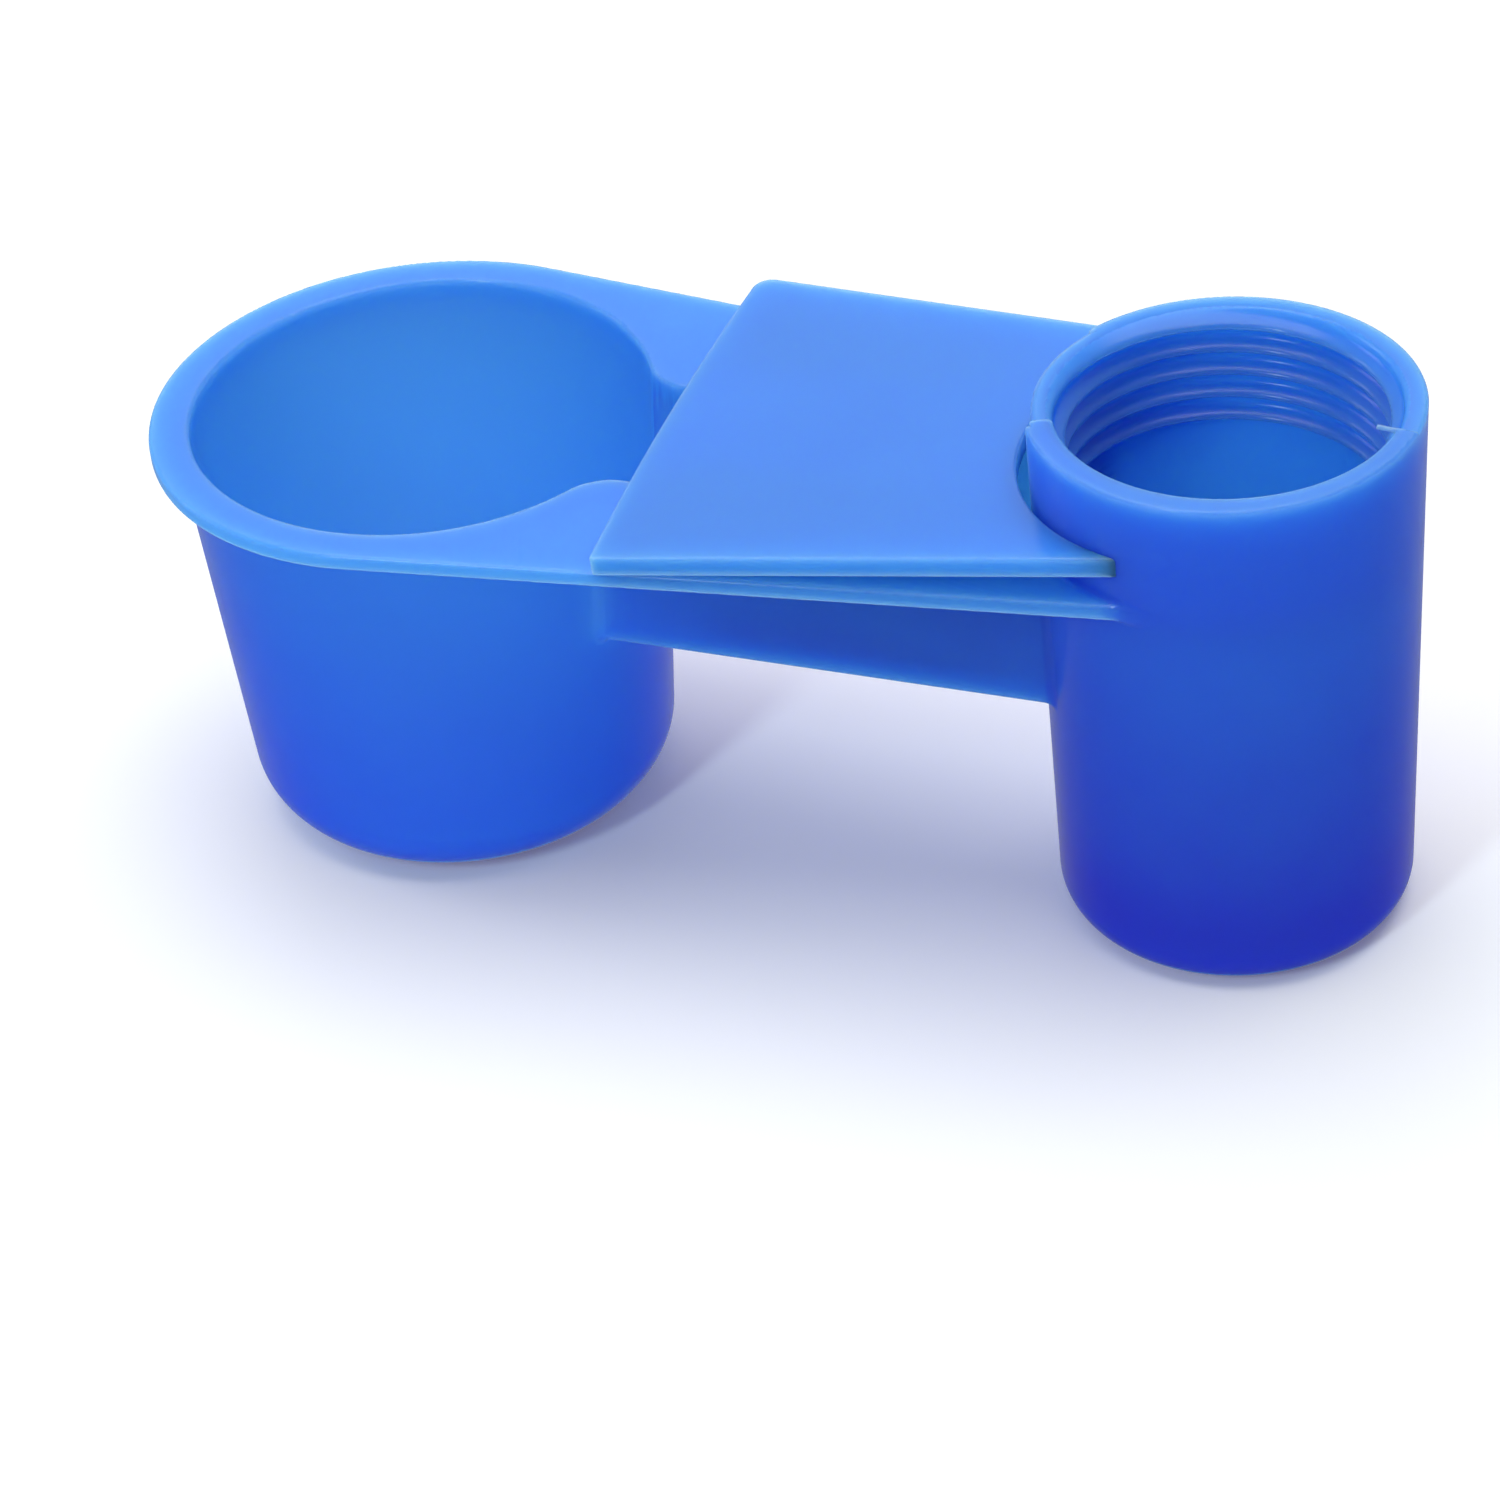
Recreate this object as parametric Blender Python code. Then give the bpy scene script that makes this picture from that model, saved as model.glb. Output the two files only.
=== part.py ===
"""Drinker cup that a drinks bottle screws into upside down.

One blue moulding holds a tapered drinking cup and a threaded bottle socket side
by side.  A flat deck joins their tops, and an open feed channel under the deck
carries the water from the socket to the cup.  A loose cover plate lies over the
channel.

The moulding is modelled as five neighbouring solids with a small seam gap between
them, and the cover plate is the sixth.  Metres, +Z up.  The origin is on the
ground, under the middle of the whole object.  The cup is at -X, the socket at +X.
"""
import math

import bmesh
import bpy
from mathutils import Euler

MM = 0.001

# Layout of the moulding
AXIS_SPACING = 74.0 * MM
DECK_TOP = 40.0 * MM
DECK_THICKNESS = 1.5 * MM
DECK_UNDERSIDE = DECK_TOP - DECK_THICKNESS
FLANGE_RADIUS = 24.3 * MM
DECK_END_RADIUS = 15.4 * MM
SEAM_GAP = 0.3 * MM

# Drinking cup
CUP_MOUTH_RADIUS = 20.7 * MM
CUP_TOP_RADIUS = 21.9 * MM
CUP_BASE_RADIUS = 19.2 * MM
CUP_FLOOR = 1.6 * MM
CUP_OUTER_FILLET = 5.8 * MM
CUP_INNER_FILLET = 4.6 * MM

# Bottle socket
SOCKET_HEIGHT = 50.9 * MM
SOCKET_RIM_RADIUS = 16.5 * MM
SOCKET_BASE_RADIUS = 15.5 * MM
SOCKET_FLOOR = 1.8 * MM
SOCKET_OUTER_FILLET = 3.4 * MM
SOCKET_INNER_FILLET = 2.0 * MM
SOCKET_MOUTH_RADIUS = 14.8 * MM
SOCKET_BORE_RADIUS = 14.5 * MM
SOCKET_BORE_BASE_RADIUS = 14.1 * MM
SOCKET_LEAD_IN = 0.8 * MM

# Thread inside the socket
THREAD_CREST_RADIUS = 13.1 * MM
THREAD_PITCH = 2.25 * MM
THREAD_TURNS = 5
THREAD_TOP_DEPTH = 1.0 * MM
THREAD_END_ANGLE = math.radians(205.0)
THREAD_ROOT_WIDTH = 1.3 * MM
THREAD_CREST_WIDTH = 0.5 * MM
THREAD_FADE_TURN = 0.12
THREAD_END_HEIGHT = 0.15

# Feed channel under the deck
CHANNEL_HALF_WIDTH = 7.6 * MM
CHANNEL_WALL = 1.4 * MM
CHANNEL_UNDERSIDE = DECK_TOP - 16.8 * MM
CHANNEL_FLOOR = CHANNEL_UNDERSIDE + 1.4 * MM
CHANNEL_EDGE_BEVEL = 0.8 * MM
SOCKET_WINDOW_TOP = DECK_UNDERSIDE - 2.0 * MM

# Cover plate, measured from the middle of its cup-side edge
COVER_FROM_CUP_AXIS = 24.8 * MM
COVER_THICKNESS = 1.9 * MM
COVER_HALF_WIDTH = 22.1 * MM
COVER_TAPER = 0.131
COVER_EDGE_BOW = 0.7 * MM
COVER_CORNER_RADIUS = 1.8 * MM
COVER_ARC_RADIUS = 17.0 * MM
COVER_ARC_SHIFT_X = -0.8 * MM
COVER_ARC_SHIFT_Y = 0.4 * MM
COVER_TIP_BLUNT = 0.5 * MM
COVER_PITCH = math.radians(3.3)
COVER_ROLL = math.radians(1.3)
COVER_YAW = math.radians(0.45)
RIB_HALF_SPACING = 6.2 * MM
RIB_THICKNESS = 1.2 * MM
RIB_DEPTH = 3.0 * MM
RIB_START = 4.0 * MM
RIB_END = 28.0 * MM

# Fineness of the round shapes
ROUND_STEPS = 72
THREAD_STEPS = 40
FILLET_STEPS = 5
BEVEL_STEPS = 3
ARM_ARC_STEPS = 4
COVER_ARC_STEPS = 24
COVER_CORNER_STEPS = 4
COVER_EDGE_STEPS = 8
SHARP_ANGLE = math.radians(30)
MERGE_DISTANCE = 0.001 * MM
CUTTER_REACH = 1.2

# Colour and roughness of the plastic, paler where it is thin and lit through
CUP_FINISH = ((0.055, 0.22, 0.80), 0.30)
DECK_FINISH = ((0.10, 0.30, 0.86), 0.30)
CHANNEL_FINISH = ((0.030, 0.12, 0.60), 0.32)
SOCKET_FINISH = ((0.028, 0.12, 0.62), 0.30)
THREAD_FINISH = ((0.040, 0.16, 0.70), 0.28)
COVER_FINISH = ((0.11, 0.32, 0.88), 0.34)

CUP_X = -(AXIS_SPACING + SOCKET_RIM_RADIUS - FLANGE_RADIUS) / 2
SOCKET_X = CUP_X + AXIS_SPACING
CUP_SLOPE = (CUP_TOP_RADIUS - CUP_BASE_RADIUS) / DECK_UNDERSIDE
SOCKET_SLOPE = (SOCKET_RIM_RADIUS - SOCKET_BASE_RADIUS) / SOCKET_HEIGHT
BORE_SLOPE = (SOCKET_BORE_RADIUS - SOCKET_BORE_BASE_RADIUS) / SOCKET_HEIGHT


def cup_outer(z):
    """Outer radius of the cup's wall at height z."""
    return CUP_BASE_RADIUS + CUP_SLOPE * z


def cup_inner(z):
    """Inner radius of the cup's wall, which meets the mouth at the deck's top."""
    return CUP_MOUTH_RADIUS - CUP_SLOPE * (DECK_TOP - z)


def socket_outer(z):
    """Outer radius of the socket's wall at height z."""
    return SOCKET_BASE_RADIUS + SOCKET_SLOPE * z


def socket_bore(z):
    """Radius of the socket's bore between its thread turns."""
    return SOCKET_BORE_BASE_RADIUS + BORE_SLOPE * z


def clear_scene():
    for obj in list(bpy.data.objects):
        bpy.data.objects.remove(obj)


def plastic(name, colour, roughness):
    """Coloured moulded plastic with a soft gloss."""
    material = bpy.data.materials.new(name)
    material.use_nodes = True
    shader = material.node_tree.nodes["Principled BSDF"]
    shader.inputs["Base Color"].default_value = (*colour, 1.0)
    shader.inputs["Roughness"].default_value = roughness
    shader.inputs["Metallic"].default_value = 0.0
    return material


def add_object(name, bm, material=None):
    """Turn a closed bmesh into a named object with outward faces."""
    bmesh.ops.recalc_face_normals(bm, faces=bm.faces)
    mesh = bpy.data.meshes.new(name)
    bm.to_mesh(mesh)
    bm.free()
    mesh.shade_smooth()
    mesh.set_sharp_from_angle(angle=SHARP_ANGLE)
    obj = bpy.data.objects.new(name, mesh)
    bpy.context.scene.collection.objects.link(obj)
    if material:
        mesh.materials.append(material)
    return obj


def make_cutter(obj):
    obj.hide_render = True
    obj.display_type = "WIRE"
    return obj


def cut(target, cutter, operation="DIFFERENCE"):
    modifier = target.modifiers.new(cutter.name, "BOOLEAN")
    modifier.operation = operation
    modifier.object = cutter
    modifier.solver = "EXACT"


def arc(centre, radius, start, end, steps):
    """Points along an arc in the plane, from angle start to angle end."""
    points = []
    for step in range(steps + 1):
        angle = start + (end - start) * step / steps
        points.append((centre[0] + radius * math.cos(angle), centre[1] + radius * math.sin(angle)))
    return points


def base_corner(wall_radius, floor_z, fillet, slope):
    """Fillet from a flat floor to a leaning wall, as (radius, z) points going up."""
    lean = math.atan(slope)
    centre_z = floor_z + fillet
    centre_r = wall_radius(centre_z) - fillet / math.cos(lean)
    return arc((centre_r, centre_z), fillet, -math.pi / 2, -lean, FILLET_STEPS)


def turned(name, profile, x, material=None):
    """Solid of revolution about the upright axis at x, from a closed (r, z) profile."""
    bm = bmesh.new()
    verts = [bm.verts.new((r, 0.0, z)) for r, z in profile]
    edges = [bm.edges.new((a, b)) for a, b in zip(verts, verts[1:] + verts[:1])
             if a.co.x > 0 or b.co.x > 0]
    bmesh.ops.spin(bm, geom=verts + edges, cent=(0, 0, 0), axis=(0, 0, 1),
                   angle=2 * math.pi, steps=ROUND_STEPS)
    bmesh.ops.remove_doubles(bm, verts=bm.verts, dist=MERGE_DISTANCE)
    obj = add_object(name, bm, material)
    obj.location.x = x
    return obj


def slab(name, outline, bottom, top, material=None):
    """Closed plate with the given plan outline between two heights."""
    bm = bmesh.new()
    face = bm.faces.new([bm.verts.new((x, y, bottom)) for x, y in outline])
    extruded = bmesh.ops.extrude_face_region(bm, geom=[face])
    lifted = [item for item in extruded["geom"] if isinstance(item, bmesh.types.BMVert)]
    bmesh.ops.translate(bm, verts=lifted, vec=(0, 0, top - bottom))
    return add_object(name, bm, material)


def box_cutter(name, low, high):
    outline = [(low[0], low[1]), (high[0], low[1]), (high[0], high[1]), (low[0], high[1])]
    return make_cutter(slab(name, outline, low[2], high[2]))


def build_cup(material):
    """Tapered cup, open at the top, with a window where the channel enters."""
    outer = base_corner(cup_outer, 0.0, CUP_OUTER_FILLET, CUP_SLOPE)
    inner = base_corner(cup_inner, CUP_FLOOR, CUP_INNER_FILLET, CUP_SLOPE)
    top = DECK_UNDERSIDE - SEAM_GAP
    profile = [(0.0, 0.0)] + outer + [(cup_outer(top), top), (cup_inner(top), top)]
    profile += inner[::-1] + [(0.0, CUP_FLOOR)]
    cup = turned("drinking_cup", profile, CUP_X, material)
    window = box_cutter("cup_window_cutter",
                        (CUP_X + CUP_MOUTH_RADIUS / 2, -CHANNEL_HALF_WIDTH, CHANNEL_FLOOR),
                        (CUP_X + CUP_TOP_RADIUS * CUTTER_REACH, CHANNEL_HALF_WIDTH, DECK_TOP))
    cut(cup, window)


def build_socket(material):
    """Blind tube with a lead-in at its mouth and a window where the channel leaves."""
    outer = base_corner(socket_outer, 0.0, SOCKET_OUTER_FILLET, SOCKET_SLOPE)
    inner = base_corner(socket_bore, SOCKET_FLOOR, SOCKET_INNER_FILLET, BORE_SLOPE)
    lead_in_bottom = SOCKET_HEIGHT - SOCKET_LEAD_IN
    profile = [(0.0, 0.0)] + outer
    profile += [(SOCKET_RIM_RADIUS, SOCKET_HEIGHT), (SOCKET_MOUTH_RADIUS, SOCKET_HEIGHT),
                (socket_bore(lead_in_bottom), lead_in_bottom)]
    profile += inner[::-1] + [(0.0, SOCKET_FLOOR)]
    socket = turned("bottle_socket", profile, SOCKET_X, material)
    window = box_cutter("socket_window_cutter",
                        (SOCKET_X - SOCKET_RIM_RADIUS * CUTTER_REACH, -CHANNEL_HALF_WIDTH, CHANNEL_FLOOR),
                        (SOCKET_X - SOCKET_BORE_RADIUS / 2, CHANNEL_HALF_WIDTH, SOCKET_WINDOW_TOP))
    cut(socket, window)


def build_thread(material):
    """Helical ridge that stands in from the socket's bore and fades at both ends."""
    bm = bmesh.new()
    top = SOCKET_HEIGHT - THREAD_TOP_DEPTH
    bottom = top - THREAD_PITCH * THREAD_TURNS
    sections = THREAD_STEPS * THREAD_TURNS
    rings = []
    for step in range(sections + 1):
        turn = step / THREAD_STEPS
        angle = THREAD_END_ANGLE - 2 * math.pi * (THREAD_TURNS - turn)
        z = bottom + THREAD_PITCH * turn
        from_end = min(turn, THREAD_TURNS - turn)
        rise = min(1.0, from_end / THREAD_FADE_TURN)
        height = THREAD_END_HEIGHT + (1 - THREAD_END_HEIGHT) * rise
        root = socket_bore(z) - SEAM_GAP
        crest = root - (root - THREAD_CREST_RADIUS) * height
        corners = [(root, -THREAD_ROOT_WIDTH / 2), (root, THREAD_ROOT_WIDTH / 2),
                   (crest, THREAD_CREST_WIDTH / 2), (crest, -THREAD_CREST_WIDTH / 2)]
        rings.append([bm.verts.new((r * math.cos(angle), r * math.sin(angle), z + dz))
                      for r, dz in corners])
    for lower, upper in zip(rings, rings[1:]):
        for i in range(4):
            j = (i + 1) % 4
            bm.faces.new((lower[i], lower[j], upper[j], upper[i]))
    bm.faces.new(rings[0])
    bm.faces.new(rings[-1])
    thread = add_object("socket_thread", bm, material)
    thread.location.x = SOCKET_X


def deck_outline():
    """Plan of the deck: a flange round the cup mouth and two arms towards the socket.

    The mouth, the slot over the channel and the socket's hole run into each other, so
    one loop goes round them all.
    """
    hole_radius = socket_outer(DECK_TOP) + SEAM_GAP
    edge_angle = math.asin((FLANGE_RADIUS - DECK_END_RADIUS) / AXIS_SPACING)
    tangent = math.pi / 2 - edge_angle
    # where the straight side meets the socket's hole
    tip = tangent + math.acos(DECK_END_RADIUS / hole_radius)
    slot_at_socket = math.pi - math.asin(CHANNEL_HALF_WIDTH / hole_radius)
    slot_at_cup = math.asin(CHANNEL_HALF_WIDTH / CUP_MOUTH_RADIUS)
    cup = (CUP_X, 0.0)
    socket = (SOCKET_X, 0.0)
    flange = arc(cup, FLANGE_RADIUS, tangent, 2 * math.pi - tangent, ROUND_STEPS // 2)
    front_arm = arc(socket, hole_radius, -tip, -slot_at_socket, ARM_ARC_STEPS)
    mouth = arc(cup, CUP_MOUTH_RADIUS, 2 * math.pi - slot_at_cup, slot_at_cup, ROUND_STEPS)
    back_arm = arc(socket, hole_radius, slot_at_socket, tip, ARM_ARC_STEPS)
    return flange + front_arm + mouth + back_arm


def build_channel(material):
    """U-shaped trough that hangs under the deck between the two round walls."""
    outer = CHANNEL_HALF_WIDTH + CHANNEL_WALL
    top = DECK_UNDERSIDE - SEAM_GAP
    bevel = CHANNEL_EDGE_BEVEL
    bevel_z = CHANNEL_UNDERSIDE + bevel
    section = [(-outer, top)]
    section += arc((-outer + bevel, bevel_z), bevel, math.pi, 1.5 * math.pi, BEVEL_STEPS)
    section += arc((outer - bevel, bevel_z), bevel, 1.5 * math.pi, 2 * math.pi, BEVEL_STEPS)
    section += [(outer, top), (CHANNEL_HALF_WIDTH, top), (CHANNEL_HALF_WIDTH, CHANNEL_FLOOR),
                (-CHANNEL_HALF_WIDTH, CHANNEL_FLOOR), (-CHANNEL_HALF_WIDTH, top)]
    bm = bmesh.new()
    face = bm.faces.new([bm.verts.new((CUP_X, y, z)) for y, z in section])
    extruded = bmesh.ops.extrude_face_region(bm, geom=[face])
    moved = [item for item in extruded["geom"] if isinstance(item, bmesh.types.BMVert)]
    bmesh.ops.translate(bm, verts=moved, vec=(AXIS_SPACING, 0, 0))
    channel = add_object("feed_channel", bm, material)
    for name, x, radius in (("cup_side_cutter", CUP_X, cup_outer),
                            ("socket_side_cutter", SOCKET_X, socket_outer)):
        profile = [(0.0, 0.0), (radius(0.0) + SEAM_GAP, 0.0),
                   (radius(DECK_TOP) + SEAM_GAP, DECK_TOP), (0.0, DECK_TOP)]
        cut(channel, make_cutter(turned(name, profile, x)))


def cover_tip(side, centre):
    """Where the cover's side edge (side -1 front, +1 back) meets its socket-side arc."""
    reach = COVER_HALF_WIDTH - side * centre[1]
    a = 1 + COVER_TAPER ** 2
    b = -2 * (centre[0] + COVER_TAPER * reach)
    c = centre[0] ** 2 + reach ** 2 - COVER_ARC_RADIUS ** 2
    x = (-b - math.sqrt(b * b - 4 * a * c)) / (2 * a)
    return x, side * (COVER_HALF_WIDTH - COVER_TAPER * x)


def cover_outline():
    """Plan of the cover plate, counter-clockwise from its front cup-side corner."""
    centre = (AXIS_SPACING - COVER_FROM_CUP_AXIS + COVER_ARC_SHIFT_X, COVER_ARC_SHIFT_Y)
    front_tip = cover_tip(-1, centre)
    back_tip = cover_tip(1, centre)
    front_rise = centre[1] - front_tip[1] - COVER_TIP_BLUNT
    back_rise = back_tip[1] - centre[1] - COVER_TIP_BLUNT
    start = math.pi + math.asin(front_rise / COVER_ARC_RADIUS)
    end = math.pi - math.asin(back_rise / COVER_ARC_RADIUS)
    hollow = arc(centre, COVER_ARC_RADIUS, start, end, COVER_ARC_STEPS)
    corner = COVER_CORNER_RADIUS
    back_corner = arc((corner, COVER_HALF_WIDTH - corner), corner, math.pi / 2, math.pi,
                      COVER_CORNER_STEPS)
    cup_edge = []
    for step in range(1, COVER_EDGE_STEPS):
        y = COVER_HALF_WIDTH * (1 - 2 * step / COVER_EDGE_STEPS)
        if y < COVER_HALF_WIDTH - corner:
            cup_edge.append((-COVER_EDGE_BOW * (1 - (y / COVER_HALF_WIDTH) ** 2), y))
    return ([(0.0, -COVER_HALF_WIDTH), front_tip] + hollow + [back_tip]
            + back_corner + cup_edge)


def build_cover(material):
    """Loose plate over the channel, with two ribs that drop into the channel."""
    cover = slab("channel_cover", cover_outline(), 0.0, COVER_THICKNESS, material)
    sunk = COVER_THICKNESS / 2
    for side, y in (("front", -RIB_HALF_SPACING), ("back", RIB_HALF_SPACING)):
        outline = [(RIB_START, y - RIB_THICKNESS / 2), (RIB_END, y - RIB_THICKNESS / 2),
                   (RIB_END, y + RIB_THICKNESS / 2), (RIB_START, y + RIB_THICKNESS / 2)]
        rib = make_cutter(slab(side + "_rib", outline, -RIB_DEPTH, sunk))
        rib.parent = cover
        cut(cover, rib, "UNION")
    rise = COVER_HALF_WIDTH * math.sin(COVER_ROLL)
    cover.location = (CUP_X + COVER_FROM_CUP_AXIS, 0.0, DECK_TOP + SEAM_GAP + rise)
    cover.rotation_euler = Euler((COVER_ROLL, -COVER_PITCH, COVER_YAW))


def main():
    clear_scene()
    build_cup(plastic("cup_blue", *CUP_FINISH))
    slab("deck_flange", deck_outline(), DECK_UNDERSIDE, DECK_TOP, plastic("deck_blue", *DECK_FINISH))
    build_channel(plastic("channel_blue", *CHANNEL_FINISH))
    build_socket(plastic("socket_blue", *SOCKET_FINISH))
    build_thread(plastic("thread_blue", *THREAD_FINISH))
    build_cover(plastic("cover_blue", *COVER_FINISH))


main()
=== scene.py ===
"""Looks of a drinker cup that a drinks bottle screws into upside down.

The whole blue moulding is one continuous skin of translucent plastic: a drinking cup
with a flange, a feed channel, and a bottle socket with its thread.  A loose cover
plate lies over the channel.  Each of the two is described by a signed distance (below
zero in the plastic) and meshed from it, so that its fillets, rims and thread run into
each other as they do in a real moulding.

Lengths are in millimetres up to the mesh, which is in metres.
"""
import math

import bpy
import numpy as np
from mathutils import Euler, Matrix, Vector


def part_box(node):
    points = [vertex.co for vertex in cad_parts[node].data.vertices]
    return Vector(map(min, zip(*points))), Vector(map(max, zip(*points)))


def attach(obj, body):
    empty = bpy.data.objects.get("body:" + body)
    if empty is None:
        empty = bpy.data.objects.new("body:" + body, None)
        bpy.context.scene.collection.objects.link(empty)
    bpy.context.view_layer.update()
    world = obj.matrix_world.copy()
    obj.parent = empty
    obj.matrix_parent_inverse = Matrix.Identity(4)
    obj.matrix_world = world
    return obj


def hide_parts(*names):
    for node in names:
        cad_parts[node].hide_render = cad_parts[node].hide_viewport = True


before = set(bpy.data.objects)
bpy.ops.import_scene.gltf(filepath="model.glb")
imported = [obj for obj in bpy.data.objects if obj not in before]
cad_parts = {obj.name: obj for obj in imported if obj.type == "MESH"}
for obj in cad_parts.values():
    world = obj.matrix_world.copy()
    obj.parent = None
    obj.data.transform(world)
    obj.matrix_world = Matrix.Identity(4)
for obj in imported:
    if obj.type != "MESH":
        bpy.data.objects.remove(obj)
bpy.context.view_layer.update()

MM = 0.001


def node_box(name):
    """Lowest and highest corner of a CAD node, in millimetres."""
    low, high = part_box(name)
    return np.array(low) / MM, np.array(high) / MM


CUP_LOW, CUP_HIGH = node_box("drinking_cup")
DECK_LOW, DECK_HIGH = node_box("deck_flange")
SOCKET_LOW, SOCKET_HIGH = node_box("bottle_socket")
CHANNEL_LOW, CHANNEL_HIGH = node_box("feed_channel")

# Layout, around the frame's boxes
FLANGE_RADIUS = 24.3
CUP_X = DECK_LOW[0] + FLANGE_RADIUS
SOCKET_X = (SOCKET_LOW[0] + SOCKET_HIGH[0]) / 2
AXIS_SPACING = SOCKET_X - CUP_X
DECK_TOP = DECK_HIGH[2]
DECK_THICKNESS = DECK_HIGH[2] - DECK_LOW[2]
DECK_MIDDLE = DECK_TOP - DECK_THICKNESS / 2
DECK_END_RADIUS = 15.4
DECK_EDGE = 0.35
WALL_EDGE = 0.3
JOIN_FILLET = 0.7

# Drinking cup
CUP_TOP_RADIUS = (CUP_HIGH[1] - CUP_LOW[1]) / 2
CUP_BASE_RADIUS = 19.2
CUP_MOUTH_RADIUS = 20.7
CUP_SLOPE = (CUP_TOP_RADIUS - CUP_BASE_RADIUS) / CUP_HIGH[2]
CUP_FLOOR = 1.6
CUP_OUTER_FILLET = 5.8
CUP_INNER_FILLET = 4.6

# Bottle socket
SOCKET_HEIGHT = SOCKET_HIGH[2]
SOCKET_RIM_RADIUS = (SOCKET_HIGH[1] - SOCKET_LOW[1]) / 2
SOCKET_BASE_RADIUS = 15.5
SOCKET_SLOPE = (SOCKET_RIM_RADIUS - SOCKET_BASE_RADIUS) / SOCKET_HEIGHT
SOCKET_FLOOR = 1.8
SOCKET_OUTER_FILLET = 3.4
SOCKET_INNER_FILLET = 2.0
MOUTH_RADIUS = 14.8
BORE_RADIUS = 14.5
BORE_NARROWING = 0.4
BORE_SLOPE = BORE_NARROWING / SOCKET_HEIGHT
LEAD_IN_SLOPE = 2.2
LEAD_IN_ROUND = 0.4
RIM_EDGE = 0.25

# The front sector of the socket's rim stands proud, as if from the mould's other half,
# and a whisker of flash lies where the halves part on the right
SECTOR_START = math.radians(204.5)
SECTOR_END = math.radians(355.0)
SECTOR_BLEND = 0.02
SECTOR_STEP_UP = 0.28
SECTOR_STEP_OUT = 0.45
SECTOR_OUT_FADE = math.radians(90.0)
SECTOR_DEPTH = 14.0
SECTOR_FADE = 6.0
BACK_RIM_ROUND = 1.0
BACK_RIM_DEPTH = 3.0
WHISKER_REACH = (13.0, 15.6)
WHISKER_RADIUS = 0.2
WHISKER_DEPTH = 0.3

# Thread
THREAD_PITCH = 2.25
THREAD_HEIGHT = 1.05
THREAD_SHARPNESS = 1.3
THREAD_END_ANGLE = math.radians(205.0)
THREAD_END_DEPTH = 1.0
THREAD_TURNS = 5.2
THREAD_FADE_TURNS = 0.2

# Feed channel
CHANNEL_WALL = 1.4
CHANNEL_OUTER = (CHANNEL_HIGH[1] - CHANNEL_LOW[1]) / 2
CHANNEL_INNER = CHANNEL_OUTER - CHANNEL_WALL
CHANNEL_UNDERSIDE = CHANNEL_LOW[2]
CHANNEL_FLOOR = CHANNEL_UNDERSIDE + CHANNEL_WALL
CHANNEL_EDGE = 0.8
CHANNEL_INNER_EDGE = 0.6
WINDOW_UNDER_DECK = 2.0
WINDOW_TOP = DECK_TOP - DECK_THICKNESS - WINDOW_UNDER_DECK
KEYHOLE_ROUND = 2.6

# Cover plate, from the middle of its cup-side edge
COVER_FROM_CUP = 24.8
COVER_GAP = 0.12
COVER_LEAN = math.radians(1.3)
COVER_SLOPE = math.radians(3.3)
COVER_YAW = math.radians(0.45)
COVER_THICKNESS = 1.9
COVER_HALF_WIDTH = 22.1
COVER_TAPER = 0.131
COVER_EDGE_BOW = 0.7
COVER_BACK_CORNER = 1.8
COVER_LIFT = COVER_HALF_WIDTH * math.sin(COVER_LEAN)
COVER_ARC_RADIUS = 17.0
COVER_ARC_SHIFT = (-0.8, 0.4)
COVER_ARC_CENTRE = (AXIS_SPACING - COVER_FROM_CUP + COVER_ARC_SHIFT[0], COVER_ARC_SHIFT[1])
COVER_TIP_BACK = 1.0
COVER_FRONT_CORNER = 0.3
COVER_EDGE = 0.25
BURR_PLACE = (39.0, -12.2, COVER_THICKNESS)
BURR_RADIUS = 0.3
RIB_SPACING = 6.2
RIB_THICKNESS = 1.2
RIB_DEPTH = 3.0
RIB_START = 4.0
RIB_END = 28.0
RIB_EDGE = 0.4

# Mesh: grid cells in mm, blocks in cells, the least squared slope of a distance
MOULDING_CELL = 0.25
COVER_CELL = 0.16
BLOCK = 4
NEAR_BLOCKS = 1.5
SETTLE_ROUNDS = 2
GRADIENT_STEP = 0.01
LEAST_SLOPE = 0.25
FLAT_TILT = math.radians(4)
ROUND_TILT = math.radians(8)
MOULDING_FACES = 170000
COVER_FACES = 60000

# Painted shade, 0 for pale and 1 for deep: inner faces and tops are painted pale as if lit,
# outer walls and undersides deep as if in shade; a pair is the value at the socket's rim
# and what is added on the way down to the ground, as painted shade deepening downward;
# below the underside height no face is an inner one
PAINTED_SHADE_ATTRIBUTE = "painted_shade"
TUBE_SHADE = (0.45, 0.55)
BORE_SHADE = 0.1
THREAD_SHADOW = 0.3
FRONT_RIM_SHADE = 0.25
CUP_SHADE = (0.5, 0.35)
TROUGH_SHADE = 0.35
DECK_SHADE = 0.08
DECK_EDGE_SHADE = 0.2
UNDERSIDE_HEIGHT = 0.8

# Plastic; how far red, green and blue scatter is in metres
PALE_BLUE = (0.036, 0.205, 0.88)
DEEP_BLUE = (0.022, 0.024, 0.68)
SCATTER = (0.00036, 0.0010, 0.014)
CLOUD_STRENGTH = 0.12
CLOUD_SCALE = 90
CLOUD_DETAIL = 3
REFRACTION = 1.49
SPECULAR = 0.35
ROUGHNESS = (0.17, 0.26)

# Room
WORLD_DIM = 0.10
WORLD_BRIGHT = 0.45
WORLD_BRIGHT_SIDE = (-0.25, 0.8, 0.5)
WORLD_FADE = (-0.4, 0.8)
WORLD_COLOUR = (0.96, 0.98, 1.0)
FLOOR_REACH = 3.0
FLOOR_WHITE = 0.9
FLOOR_ROUGHNESS = 0.9
FLOOR_GLOW = 0.12

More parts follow.
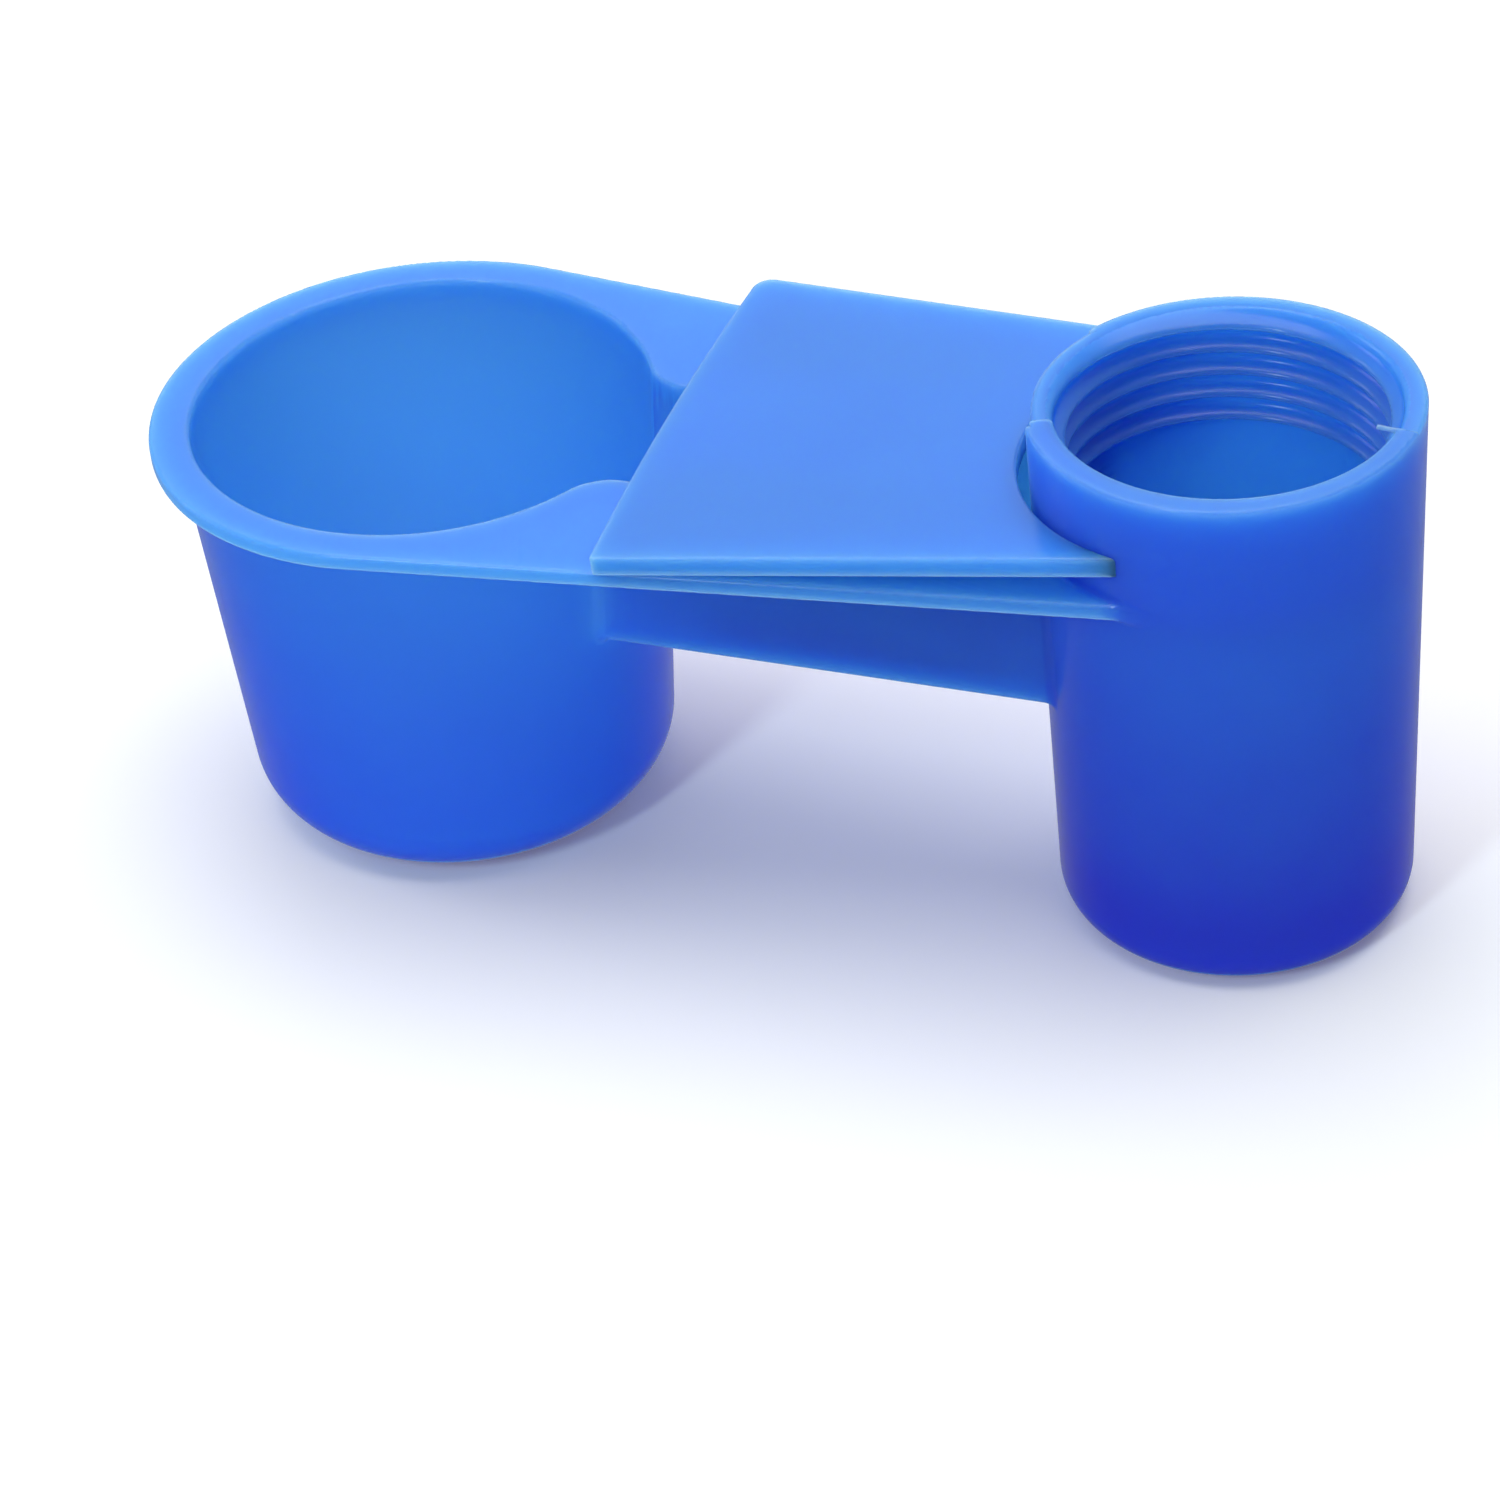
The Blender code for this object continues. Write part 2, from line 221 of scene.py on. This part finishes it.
# Lights: name, place, target and size in metres, power in watts, colour
LIGHTS = (
    ("ceiling", (0.0, 0.10, 1.0), (0, 0, 0), (1.0, 0.9), 8.3, (1, 1, 1)),
    ("back_softbox", (-0.34, 0.81, 0.66), (0, 0, 0.03), (0.6, 0.45), 0.65, (1, 1, 1)),
    ("left_window", (-0.80, 0.02, 0.50), (0.04, 0, 0.05), (0.30, 0.35), 0.8, (1, 1, 1)),
    ("front_lamp", (-0.20, -0.68, 0.57), (0.04, 0, 0.05), (0.10, 0.28), 1.9, (0.75, 0.93, 1.0)),
)

# Camera
CAMERA_TARGET = (-0.004731, 0.0, 0.006261)
CAMERA_DISTANCE = 0.4245
CAMERA_AZIMUTH = math.radians(23.075)
CAMERA_ELEVATION = math.radians(36.766)
CAMERA_ROLL = math.radians(-5.632)
CAMERA_LENS = 111.64
CAMERA_SENSOR = 36


# ---------------------------------------------------------------- distances

def rounded_and(a, b, radius):
    """What is inside both a and b, with its outer corner rounded."""
    corner = np.hypot(np.maximum(radius + a, 0), np.maximum(radius + b, 0))
    return np.minimum(-radius, np.maximum(a, b)) + corner


def rounded_or(a, b, radius):
    """What is inside a or b, with a fillet where they meet."""
    return -rounded_and(-a, -b, radius)


def leaning_wall(r, z, radius, height, slope):
    """Distance outside a wall of the given radius at a height, wider by slope going up."""
    return (r - radius - slope * (z - height)) / math.hypot(1, slope)


def deck_plan(along, side):
    """Distance outside the outline of two circles and their shared tangents."""
    narrowing = (FLANGE_RADIUS - DECK_END_RADIUS) / AXIS_SPACING
    straight = math.sqrt(1 - narrowing ** 2)
    position = straight * along - narrowing * side
    by_cup = np.hypot(along, side) - FLANGE_RADIUS
    by_socket = np.hypot(along - AXIS_SPACING, side) - DECK_END_RADIUS
    by_side = narrowing * along + straight * side - FLANGE_RADIUS
    return np.where(position < 0, by_cup,
                    np.where(position > straight * AXIS_SPACING, by_socket, by_side))


def smooth_step(value):
    """0 up to 0, 1 from 1 on, and an even rise between."""
    value = np.clip(value, 0, 1)
    return value * value * (3 - 2 * value)


def front_sector(angle):
    """1 in the part of the rim that stands proud, 0 elsewhere."""
    front = smooth_step((angle - SECTOR_START) / SECTOR_BLEND + 0.5)
    return front * smooth_step((SECTOR_END - angle) / SECTOR_BLEND + 0.5)


def thread_ridge(angle, z):
    """How far the thread stands in from the bore at an angle and height."""
    top = SOCKET_HEIGHT - THREAD_END_DEPTH
    behind = np.mod(THREAD_END_ANGLE - angle, 2 * math.pi) / (2 * math.pi)
    turns_down = (top - z) / THREAD_PITCH
    turn = np.round(turns_down - behind)
    offset = turns_down - behind - turn
    from_top = turn + behind
    fade = smooth_step(from_top / THREAD_FADE_TURNS)
    fade = fade * smooth_step((THREAD_TURNS - from_top) / THREAD_FADE_TURNS)
    wave = np.cos(math.pi * np.clip(offset * 2, -1, 1)) * 0.5 + 0.5
    return THREAD_HEIGHT * fade * wave ** THREAD_SHARPNESS


def moulding(x, y, z):
    """Distance outside the whole moulding."""
    along = x - CUP_X
    side = np.abs(y)
    cup_r = np.hypot(along, y)
    socket_r = np.hypot(x - SOCKET_X, y)
    angle = np.mod(np.arctan2(y, x - SOCKET_X), 2 * math.pi)
    past_axes = np.abs(along - AXIS_SPACING / 2) - AXIS_SPACING / 2

    deck = rounded_and(deck_plan(along, side), np.abs(z - DECK_MIDDLE) - DECK_THICKNESS / 2,
                       DECK_EDGE)
    cup = leaning_wall(cup_r, z, CUP_BASE_RADIUS, 0, CUP_SLOPE)
    cup = rounded_and(cup, -z, CUP_OUTER_FILLET)
    cup = np.maximum(cup, z - DECK_MIDDLE)
    trough = rounded_and(side - CHANNEL_OUTER, CHANNEL_UNDERSIDE - z, CHANNEL_EDGE)
    trough = np.maximum(trough, z - DECK_MIDDLE)
    trough = np.maximum(trough, past_axes)

    front = front_sector(angle)
    proud = front * smooth_step((SECTOR_END - angle) / SECTOR_OUT_FADE)
    proud = proud * smooth_step((z - SOCKET_HEIGHT + SECTOR_DEPTH) / SECTOR_FADE)
    wall = leaning_wall(socket_r, z, SOCKET_BASE_RADIUS, 0, SOCKET_SLOPE)
    tube = rounded_and(wall, -z, SOCKET_OUTER_FILLET)
    rim_top = SOCKET_HEIGHT - SECTOR_STEP_UP * (1 - front)
    tube = rounded_and(tube - SECTOR_STEP_OUT * proud, z - rim_top, RIM_EDGE)

    solid = rounded_or(cup, trough, JOIN_FILLET)
    solid = rounded_or(solid, deck, JOIN_FILLET)
    solid = rounded_or(solid, tube, JOIN_FILLET)

    cup_hollow = leaning_wall(cup_r, z, CUP_MOUTH_RADIUS, DECK_TOP, CUP_SLOPE)
    cup_hollow = rounded_and(cup_hollow, CUP_FLOOR - z, CUP_INNER_FILLET)
    slot = rounded_and(side - CHANNEL_INNER, CHANNEL_FLOOR - z, CHANNEL_INNER_EDGE)
    slot = np.maximum(slot, past_axes)
    channel = np.maximum(slot, -wall)
    window = np.maximum(slot, z - WINDOW_TOP)
    hollow = rounded_or(cup_hollow, channel, KEYHOLE_ROUND)
    hollow = np.minimum(hollow, window)

    bore = leaning_wall(socket_r, z, BORE_RADIUS, SOCKET_HEIGHT, BORE_SLOPE)
    bore = bore + thread_ridge(angle, z)
    bore = rounded_and(bore, SOCKET_FLOOR - z, SOCKET_INNER_FILLET)
    lead_in = leaning_wall(socket_r, z, MOUTH_RADIUS, SOCKET_HEIGHT, LEAD_IN_SLOPE)
    bore = rounded_or(bore, lead_in, LEAD_IN_ROUND)
    hollow = np.minimum(hollow, bore)
    by_rim = smooth_step((z - SOCKET_HEIGHT + BACK_RIM_DEPTH) / BACK_RIM_DEPTH)
    edge = WALL_EDGE + (BACK_RIM_ROUND - WALL_EDGE) * (1 - front) * by_rim
    body = rounded_and(solid, -hollow, edge)
    return rounded_or(body, whisker(socket_r, angle, z), WHISKER_RADIUS)


def whisker(r, angle, z):
    """Distance outside the hair of flash that reaches in from the rim."""
    inward = r * np.cos(angle - SECTOR_END)
    beyond = np.maximum(WHISKER_REACH[0] - inward, inward - WHISKER_REACH[1])
    across = r * np.sin(angle - SECTOR_END)
    height = z - SOCKET_HEIGHT + WHISKER_DEPTH
    distance = np.sqrt(np.maximum(beyond, 0) ** 2 + across ** 2 + height ** 2)
    return distance - WHISKER_RADIUS


def cover(x, y, z):
    """Distance outside the cover plate, in its own frame."""
    slope_length = math.hypot(1, COVER_TAPER)
    front = (-y - COVER_HALF_WIDTH + COVER_TAPER * x) / slope_length
    back = (y - COVER_HALF_WIDTH + COVER_TAPER * x) / slope_length
    cup_edge = -x - COVER_EDGE_BOW * (1 - (y / COVER_HALF_WIDTH) ** 2)
    arc = COVER_ARC_RADIUS - np.hypot(x - COVER_ARC_CENTRE[0], y - COVER_ARC_CENTRE[1])
    burr = np.hypot(x - BURR_PLACE[0], y - BURR_PLACE[1])
    burr = np.hypot(burr, z - BURR_PLACE[2]) - BURR_RADIUS
    tip = x - COVER_ARC_CENTRE[0] + COVER_TIP_BACK
    plan = rounded_and(back, cup_edge, COVER_BACK_CORNER)
    plan = rounded_and(np.maximum(plan, arc), front, COVER_FRONT_CORNER)
    plan = np.maximum(plan, tip)
    plate = np.abs(z - COVER_THICKNESS / 2) - COVER_THICKNESS / 2
    plate = rounded_and(plan, plate, COVER_EDGE)
    rib = np.maximum(np.abs(np.abs(y) - RIB_SPACING) - RIB_THICKNESS / 2,
                     np.abs(x - (RIB_START + RIB_END) / 2) - (RIB_END - RIB_START) / 2)
    rib = rounded_and(rib, -RIB_DEPTH - z, RIB_EDGE)
    rib = np.maximum(rib, z - COVER_THICKNESS / 2)
    return np.minimum(rounded_or(plate, rib, RIB_EDGE), burr)


def moulding_painted_shade(x, y, z):
    """Painted shade of the moulding: pale on inner faces and tops as if lit, deep on outer
    walls and undersides as if in shade, deeper towards the bottom.

    It changes evenly with height along the walls and jumps only at fillets and rounded
    edges, so that the long faces of a wall don't show in it.
    """
    along = x - CUP_X
    cup_r = np.hypot(along, y)
    socket_r = np.hypot(x - SOCKET_X, y)
    angle = np.mod(np.arctan2(y, x - SOCKET_X), 2 * math.pi)
    down = 1 - z / SOCKET_HEIGHT
    half_edge = WALL_EDGE / 2

    front = front_sector(angle)
    rim_top = SOCKET_HEIGHT - SECTOR_STEP_UP * (1 - front)
    by_rim = np.clip((z - rim_top) / RIM_EDGE + 1, 0, 1)
    # Painted light on the rim top: paler than the tube's wall, with painted shade on its front
    # part
    rim = FRONT_RIM_SHADE * front
    # Painted shade: the tube's outside deepens on the way down
    tube = TUBE_SHADE[0] + TUBE_SHADE[1] * down
    # Painted shade in the thread's grooves, with the crests left paler as a painted highlight
    thread_shade = THREAD_SHADOW * (1 - thread_ridge(angle, z) / THREAD_HEIGHT)
    # Painted shade in the bore: pale by the rim, deeper down the hole
    bore = (BORE_SHADE + thread_shade) * down
    inside = z > UNDERSIDE_HEIGHT
    tube = np.where((socket_r < MOUTH_RADIUS + half_edge) & inside, bore, tube)
    tube = tube + (rim - tube) * by_rim
    # Painted shade on the cup's outside, deepening downward, and on the trough under the deck
    cup = CUP_SHADE[0] + CUP_SHADE[1] * down
    below = np.where(cup_r < CUP_TOP_RADIUS + JOIN_FILLET / 2, cup, TROUGH_SHADE)
    # Painted light on the deck: its top pale as if lit, its edge band deeper as painted shade
    deck = np.where(z > DECK_TOP - DECK_EDGE / 2, DECK_SHADE, DECK_EDGE_SHADE)
    colour = np.where(z < DECK_TOP - DECK_THICKNESS - JOIN_FILLET / 2, below, deck)

    mouth = CUP_MOUTH_RADIUS + CUP_SLOPE * (z - DECK_TOP) + half_edge
    in_channel = (np.abs(y) < CHANNEL_INNER + half_edge) & (z > CHANNEL_FLOOR - half_edge)
    in_channel = in_channel & (np.abs(along - AXIS_SPACING / 2) < AXIS_SPACING / 2)
    # Painted light: the insides of the cup and channel pale, as light shining through their
    # walls
    colour = np.where((cup_r < mouth) & inside | in_channel, 0, colour)
    wall = SOCKET_BASE_RADIUS + SOCKET_SLOPE * z + SECTOR_STEP_OUT
    by_tube = np.clip((wall + JOIN_FILLET - socket_r) / JOIN_FILLET, 0, 1)
    return by_tube * tube + (1 - by_tube) * colour


def cover_painted_shade(x, y, z):
    """The cover plate gets no painted shade: it is pale all over."""
    return np.zeros_like(x)


# ---------------------------------------------------------------- meshing

def sample(distance, low, high, cell):
    """Distances on a grid: exact near the surface, and of the right sign elsewhere."""
    stride = cell * BLOCK
    counts = [int(math.ceil((h - l) / stride)) for l, h in zip(low, high)]
    starts = [l + stride * np.arange(n) for l, n in zip(low, counts)]
    half = cell * (BLOCK - 1) / 2
    middles = np.meshgrid(*(s + half for s in starts), indexing="ij")
    coarse = distance(*middles)
    grid = coarse
    for axis in range(3):
        grid = np.repeat(grid, BLOCK, axis)
    i, j, k = np.nonzero(np.abs(coarse) < stride * NEAR_BLOCKS)
    step = cell * np.arange(BLOCK)
    values = distance((starts[0][i][:, None] + step)[:, :, None, None],
                      (starts[1][j][:, None] + step)[:, None, :, None],
                      (starts[2][k][:, None] + step)[:, None, None, :])
    blocks = grid.reshape(counts[0], BLOCK, counts[1], BLOCK, counts[2], BLOCK)
    blocks.transpose(0, 2, 4, 1, 3, 5)[i, j, k] = values
    return grid


def net(grid):
    """Points and quads of the closed surface where the grid passes zero, in cells."""
    inside = grid < 0
    shape = np.array(grid.shape)
    points, owners, flips = [], [], []
    for axis in range(3):
        lower = [slice(None)] * 3
        upper = [slice(None)] * 3
        lower[axis] = slice(None, -1)
        upper[axis] = slice(1, None)
        lower, upper = tuple(lower), tuple(upper)
        edges = np.argwhere(inside[lower] != inside[upper])
        a = grid[lower][tuple(edges.T)]
        b = grid[upper][tuple(edges.T)]
        crossing = edges.astype(float)
        crossing[:, axis] += a / (a - b)
        corners = []
        for second, third in ((-1, -1), (0, -1), (0, 0), (-1, 0)):
            cell = edges.copy()
            cell[:, (axis + 1) % 3] += second
            cell[:, (axis + 2) % 3] += third
            corners.append((cell[:, 0] * shape[1] + cell[:, 1]) * shape[2] + cell[:, 2])
        points.append(crossing)
        owners.append(np.stack(corners, 1))
        flips.append(inside[lower][tuple(edges.T)])
    points = np.concatenate(points)
    owners = np.concatenate(owners)
    flips = np.concatenate(flips)
    cells, quads = np.unique(owners, return_inverse=True)
    quads = quads.reshape(owners.shape)
    share = np.bincount(quads.ravel(), minlength=len(cells))
    placed = [np.bincount(quads.ravel(), np.repeat(points[:, axis], 4), len(cells)) / share
              for axis in range(3)]
    quads[~flips] = quads[~flips][:, ::-1]
    return np.stack(placed, 1), quads


def slope_at(distance, points):
    """Distance and its gradient at each point."""
    gradient = np.empty_like(points)
    for axis in range(3):
        ahead, behind = points.copy(), points.copy()
        ahead[:, axis] += GRADIENT_STEP
        behind[:, axis] -= GRADIENT_STEP
        rise = distance(*ahead.T) - distance(*behind.T)
        gradient[:, axis] = rise / (2 * GRADIENT_STEP)
    return distance(*points.T), gradient


def settle(distance, points, cell):
    """Points moved onto the surface."""
    for _ in range(SETTLE_ROUNDS):
        value, gradient = slope_at(distance, points)
        length = np.maximum((gradient ** 2).sum(1), LEAST_SLOPE)
        step = np.clip(value / length, -cell, cell)
        points = points - gradient * step[:, None]
    return points


def mesh_object(name, points, faces):
    """Object in the scene from points and faces that all have as many corners."""
    mesh = bpy.data.meshes.new(name)
    mesh.vertices.add(len(points))
    mesh.vertices.foreach_set("co", points.astype(np.float32).ravel())
    mesh.loops.add(faces.size)
    mesh.loops.foreach_set("vertex_index", faces.astype(np.int32).ravel())
    mesh.polygons.add(len(faces))
    starts = np.arange(0, faces.size, faces.shape[1], np.int32)
    mesh.polygons.foreach_set("loop_start", starts)
    mesh.update(calc_edges=True)
    piece = bpy.data.objects.new(name, mesh)
    bpy.context.scene.collection.objects.link(piece)
    return piece


def smooth(mesh, gradient):
    """Shade a mesh by its surface's own gradient.

    A flat face that only reaches into a rounded edge with one corner stays flat.
    """
    corners = np.empty(len(mesh.loops), np.int32)
    mesh.loops.foreach_get("vertex_index", corners)
    starts = np.empty(len(mesh.polygons), np.int32)
    mesh.polygons.foreach_get("loop_start", starts)
    sizes = np.diff(starts, append=len(corners))
    flat = np.empty(len(mesh.polygons) * 3, np.float32)
    mesh.polygons.foreach_get("normal", flat)
    flat = np.repeat(flat.reshape(-1, 3), sizes, 0)
    normals = (gradient / np.linalg.norm(gradient, axis=1)[:, None])[corners]
    tilt = np.arccos(np.clip((flat * normals).sum(1), -1, 1))
    least = np.repeat(np.minimum.reduceat(tilt, starts), sizes)
    normals = np.where(((least < FLAT_TILT) & (tilt > ROUND_TILT))[:, None], flat, normals)
    mesh.shade_smooth()
    mesh.normals_split_custom_set(normals.tolist())


def skin(name, distance, shade_paint, low, high, cell, faces):
    """Fine closed mesh of a distance's surface, thinned where it is flat, in metres."""
    low = np.array(low) - BLOCK * cell
    points, quads = net(sample(distance, low, np.array(high) + BLOCK * cell, cell))
    points = settle(distance, points * cell + low, cell)
    piece = mesh_object(name, points, quads)
    thin = piece.modifiers.new("thin", "DECIMATE")
    thin.ratio = min(1.0, faces / (2 * len(quads)))
    depsgraph = bpy.context.evaluated_depsgraph_get()
    mesh = bpy.data.meshes.new_from_object(piece.evaluated_get(depsgraph))
    piece.modifiers.clear()
    piece.data = mesh
    mesh.name = name
    points = np.empty(len(mesh.vertices) * 3, np.float32)
    mesh.vertices.foreach_get("co", points)
    points = settle(distance, points.reshape(-1, 3).astype(float), cell)
    mesh.vertices.foreach_set("co", (points * MM).astype(np.float32).ravel())
    mesh.update()
    smooth(mesh, slope_at(distance, points)[1])
    # Painted shade per point, by which the plastic mixes its blues
    painted_shade = mesh.attributes.new(PAINTED_SHADE_ATTRIBUTE, "FLOAT", "POINT")
    painted_shade.data.foreach_set("value", shade_paint(*points.T).astype(np.float32))
    return piece


# ---------------------------------------------------------------- materials

def plastic(name):
    """Glossy translucent coloured polypropylene, mixed from pale to deep blue by the painted
    shade attribute, with faint clouds of denser pigment.
    """
    material = bpy.data.materials.new(name)
    material.use_nodes = True
    nodes, links = material.node_tree.nodes, material.node_tree.links
    shader = nodes["Principled BSDF"]
    shader.subsurface_method = "RANDOM_WALK_SKIN"
    shader.inputs["Subsurface Weight"].default_value = 1.0
    shader.inputs["Subsurface Radius"].default_value = SCATTER
    shader.inputs["Subsurface Scale"].default_value = 1.0
    shader.inputs["IOR"].default_value = REFRACTION
    shader.inputs["Specular IOR Level"].default_value = SPECULAR
    place = nodes.new("ShaderNodeTexCoord")
    cloud = nodes.new("ShaderNodeTexNoise")
    cloud.inputs["Scale"].default_value = CLOUD_SCALE
    cloud.inputs["Detail"].default_value = CLOUD_DETAIL
    links.new(place.outputs["Object"], cloud.inputs["Vector"])
    # Painted shade from the mesh, with the pigment clouds added, picks between the two blues
    shade_paint = nodes.new("ShaderNodeAttribute")
    shade_paint.attribute_name = PAINTED_SHADE_ATTRIBUTE
    clouded_shade = nodes.new("ShaderNodeMath")
    clouded_shade.operation = "MULTIPLY_ADD"
    clouded_shade.inputs[1].default_value = CLOUD_STRENGTH
    links.new(cloud.outputs["Fac"], clouded_shade.inputs[0])
    links.new(shade_paint.outputs["Fac"], clouded_shade.inputs[2])
    tint = nodes.new("ShaderNodeMix")
    tint.data_type = "RGBA"
    tint.inputs["A"].default_value = (*PALE_BLUE, 1)
    tint.inputs["B"].default_value = (*DEEP_BLUE, 1)
    links.new(clouded_shade.outputs["Value"], tint.inputs["Factor"])
    links.new(tint.outputs["Result"], shader.inputs["Base Color"])
    rough = nodes.new("ShaderNodeMapRange")
    rough.inputs["To Min"].default_value = ROUGHNESS[0]
    rough.inputs["To Max"].default_value = ROUGHNESS[1]
    links.new(cloud.outputs["Fac"], rough.inputs["Value"])
    links.new(rough.outputs["Result"], shader.inputs["Roughness"])
    return material


# ---------------------------------------------------------------- stage

def aim(obj, target):
    """Turn a light so that it shines at a point."""
    direction = Vector(target) - obj.location
    obj.rotation_mode = "QUATERNION"
    obj.rotation_quaternion = direction.to_track_quat("-Z", "Y")


def area_light(name, place, target, size, power, colour):
    """Rectangular light, aimed at a point."""
    light = bpy.data.lights.new(name, "AREA")
    light.shape = "RECTANGLE"
    light.size, light.size_y = size
    light.energy = power
    light.color = colour
    lamp = bpy.data.objects.new(name, light)
    bpy.context.scene.collection.objects.link(lamp)
    lamp.location = place
    aim(lamp, target)


def make_floor():
    """White floor that glows a little and doesn't show in the plastic's gloss."""
    mesh = bpy.data.meshes.new("floor")
    signs = ((-1, -1), (1, -1), (1, 1), (-1, 1))
    corners = [(FLOOR_REACH * across, FLOOR_REACH * along, 0) for across, along in signs]
    mesh.from_pydata(corners, [], [(0, 1, 2, 3)])
    floor = bpy.data.objects.new("floor", mesh)
    bpy.context.scene.collection.objects.link(floor)
    material = bpy.data.materials.new("floor_white")
    material.use_nodes = True
    shader = material.node_tree.nodes["Principled BSDF"]
    shader.inputs["Base Color"].default_value = (*[FLOOR_WHITE] * 3, 1)
    shader.inputs["Roughness"].default_value = FLOOR_ROUGHNESS
    shader.inputs["Emission Strength"].default_value = FLOOR_GLOW
    mesh.materials.append(material)
    floor.visible_glossy = False


def make_camera():
    """Camera at a distance, azimuth and elevation from its target, then rolled."""
    back = Vector((math.sin(CAMERA_AZIMUTH) * math.cos(CAMERA_ELEVATION),
                   -math.cos(CAMERA_AZIMUTH) * math.cos(CAMERA_ELEVATION),
                   math.sin(CAMERA_ELEVATION)))
    data = bpy.data.cameras.new("camera")
    data.lens = CAMERA_LENS
    data.sensor_width = CAMERA_SENSOR
    camera = bpy.data.objects.new("camera", data)
    bpy.context.scene.collection.objects.link(camera)
    camera.location = Vector(CAMERA_TARGET) + back * CAMERA_DISTANCE
    level = (-back).to_track_quat("-Z", "Y")
    camera.rotation_mode = "QUATERNION"
    camera.rotation_quaternion = level @ Euler((0, 0, CAMERA_ROLL)).to_quaternion()
    bpy.context.scene.camera = camera


def make_world():
    """Pale room, dim on the viewer's side and bright behind the object and above it."""
    world = bpy.data.worlds.new("studio")
    world.use_nodes = True
    nodes, links = world.node_tree.nodes, world.node_tree.links
    background = nodes["Background"]
    place = nodes.new("ShaderNodeTexCoord")
    toward = nodes.new("ShaderNodeVectorMath")
    toward.operation = "DOT_PRODUCT"
    toward.inputs[1].default_value = Vector(WORLD_BRIGHT_SIDE).normalized()
    links.new(place.outputs["Generated"], toward.inputs[0])
    strength = nodes.new("ShaderNodeMapRange")
    strength.interpolation_type = "SMOOTHSTEP"
    strength.inputs["From Min"].default_value = WORLD_FADE[0]
    strength.inputs["From Max"].default_value = WORLD_FADE[1]
    strength.inputs["To Min"].default_value = WORLD_DIM
    strength.inputs["To Max"].default_value = WORLD_BRIGHT
    links.new(toward.outputs["Value"], strength.inputs["Value"])
    links.new(strength.outputs["Result"], background.inputs["Strength"])
    background.inputs["Color"].default_value = (*WORLD_COLOUR, 1)
    bpy.context.scene.world = world


make_camera()
make_world()
make_floor()
for light_row in LIGHTS:
    area_light(*light_row)
bpy.context.scene.view_settings.view_transform = "Standard"

moulded = skin("drinker_moulding", moulding, moulding_painted_shade,
               (CUP_X - FLANGE_RADIUS, -FLANGE_RADIUS, 0),
               (SOCKET_X + SOCKET_RIM_RADIUS, FLANGE_RADIUS, SOCKET_HEIGHT),
               MOULDING_CELL, MOULDING_FACES)
moulded.data.materials.append(plastic("body_plastic"))
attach(moulded, "moulded_body")
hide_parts("drinking_cup", "deck_flange", "feed_channel", "bottle_socket",
            "socket_thread")

plate = skin("cover_plate", cover, cover_painted_shade,
             (-COVER_EDGE_BOW, -COVER_HALF_WIDTH, -RIB_DEPTH),
             (COVER_ARC_CENTRE[0], COVER_HALF_WIDTH, COVER_THICKNESS),
             COVER_CELL, COVER_FACES)
plate.data.materials.append(plastic("cover_plastic"))
plate.location = Vector((CUP_X + COVER_FROM_CUP, 0, DECK_TOP + COVER_GAP + COVER_LIFT)) * MM
plate.rotation_euler = Euler((COVER_LEAN, -COVER_SLOPE, COVER_YAW))
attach(plate, "cover")
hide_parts("channel_cover")
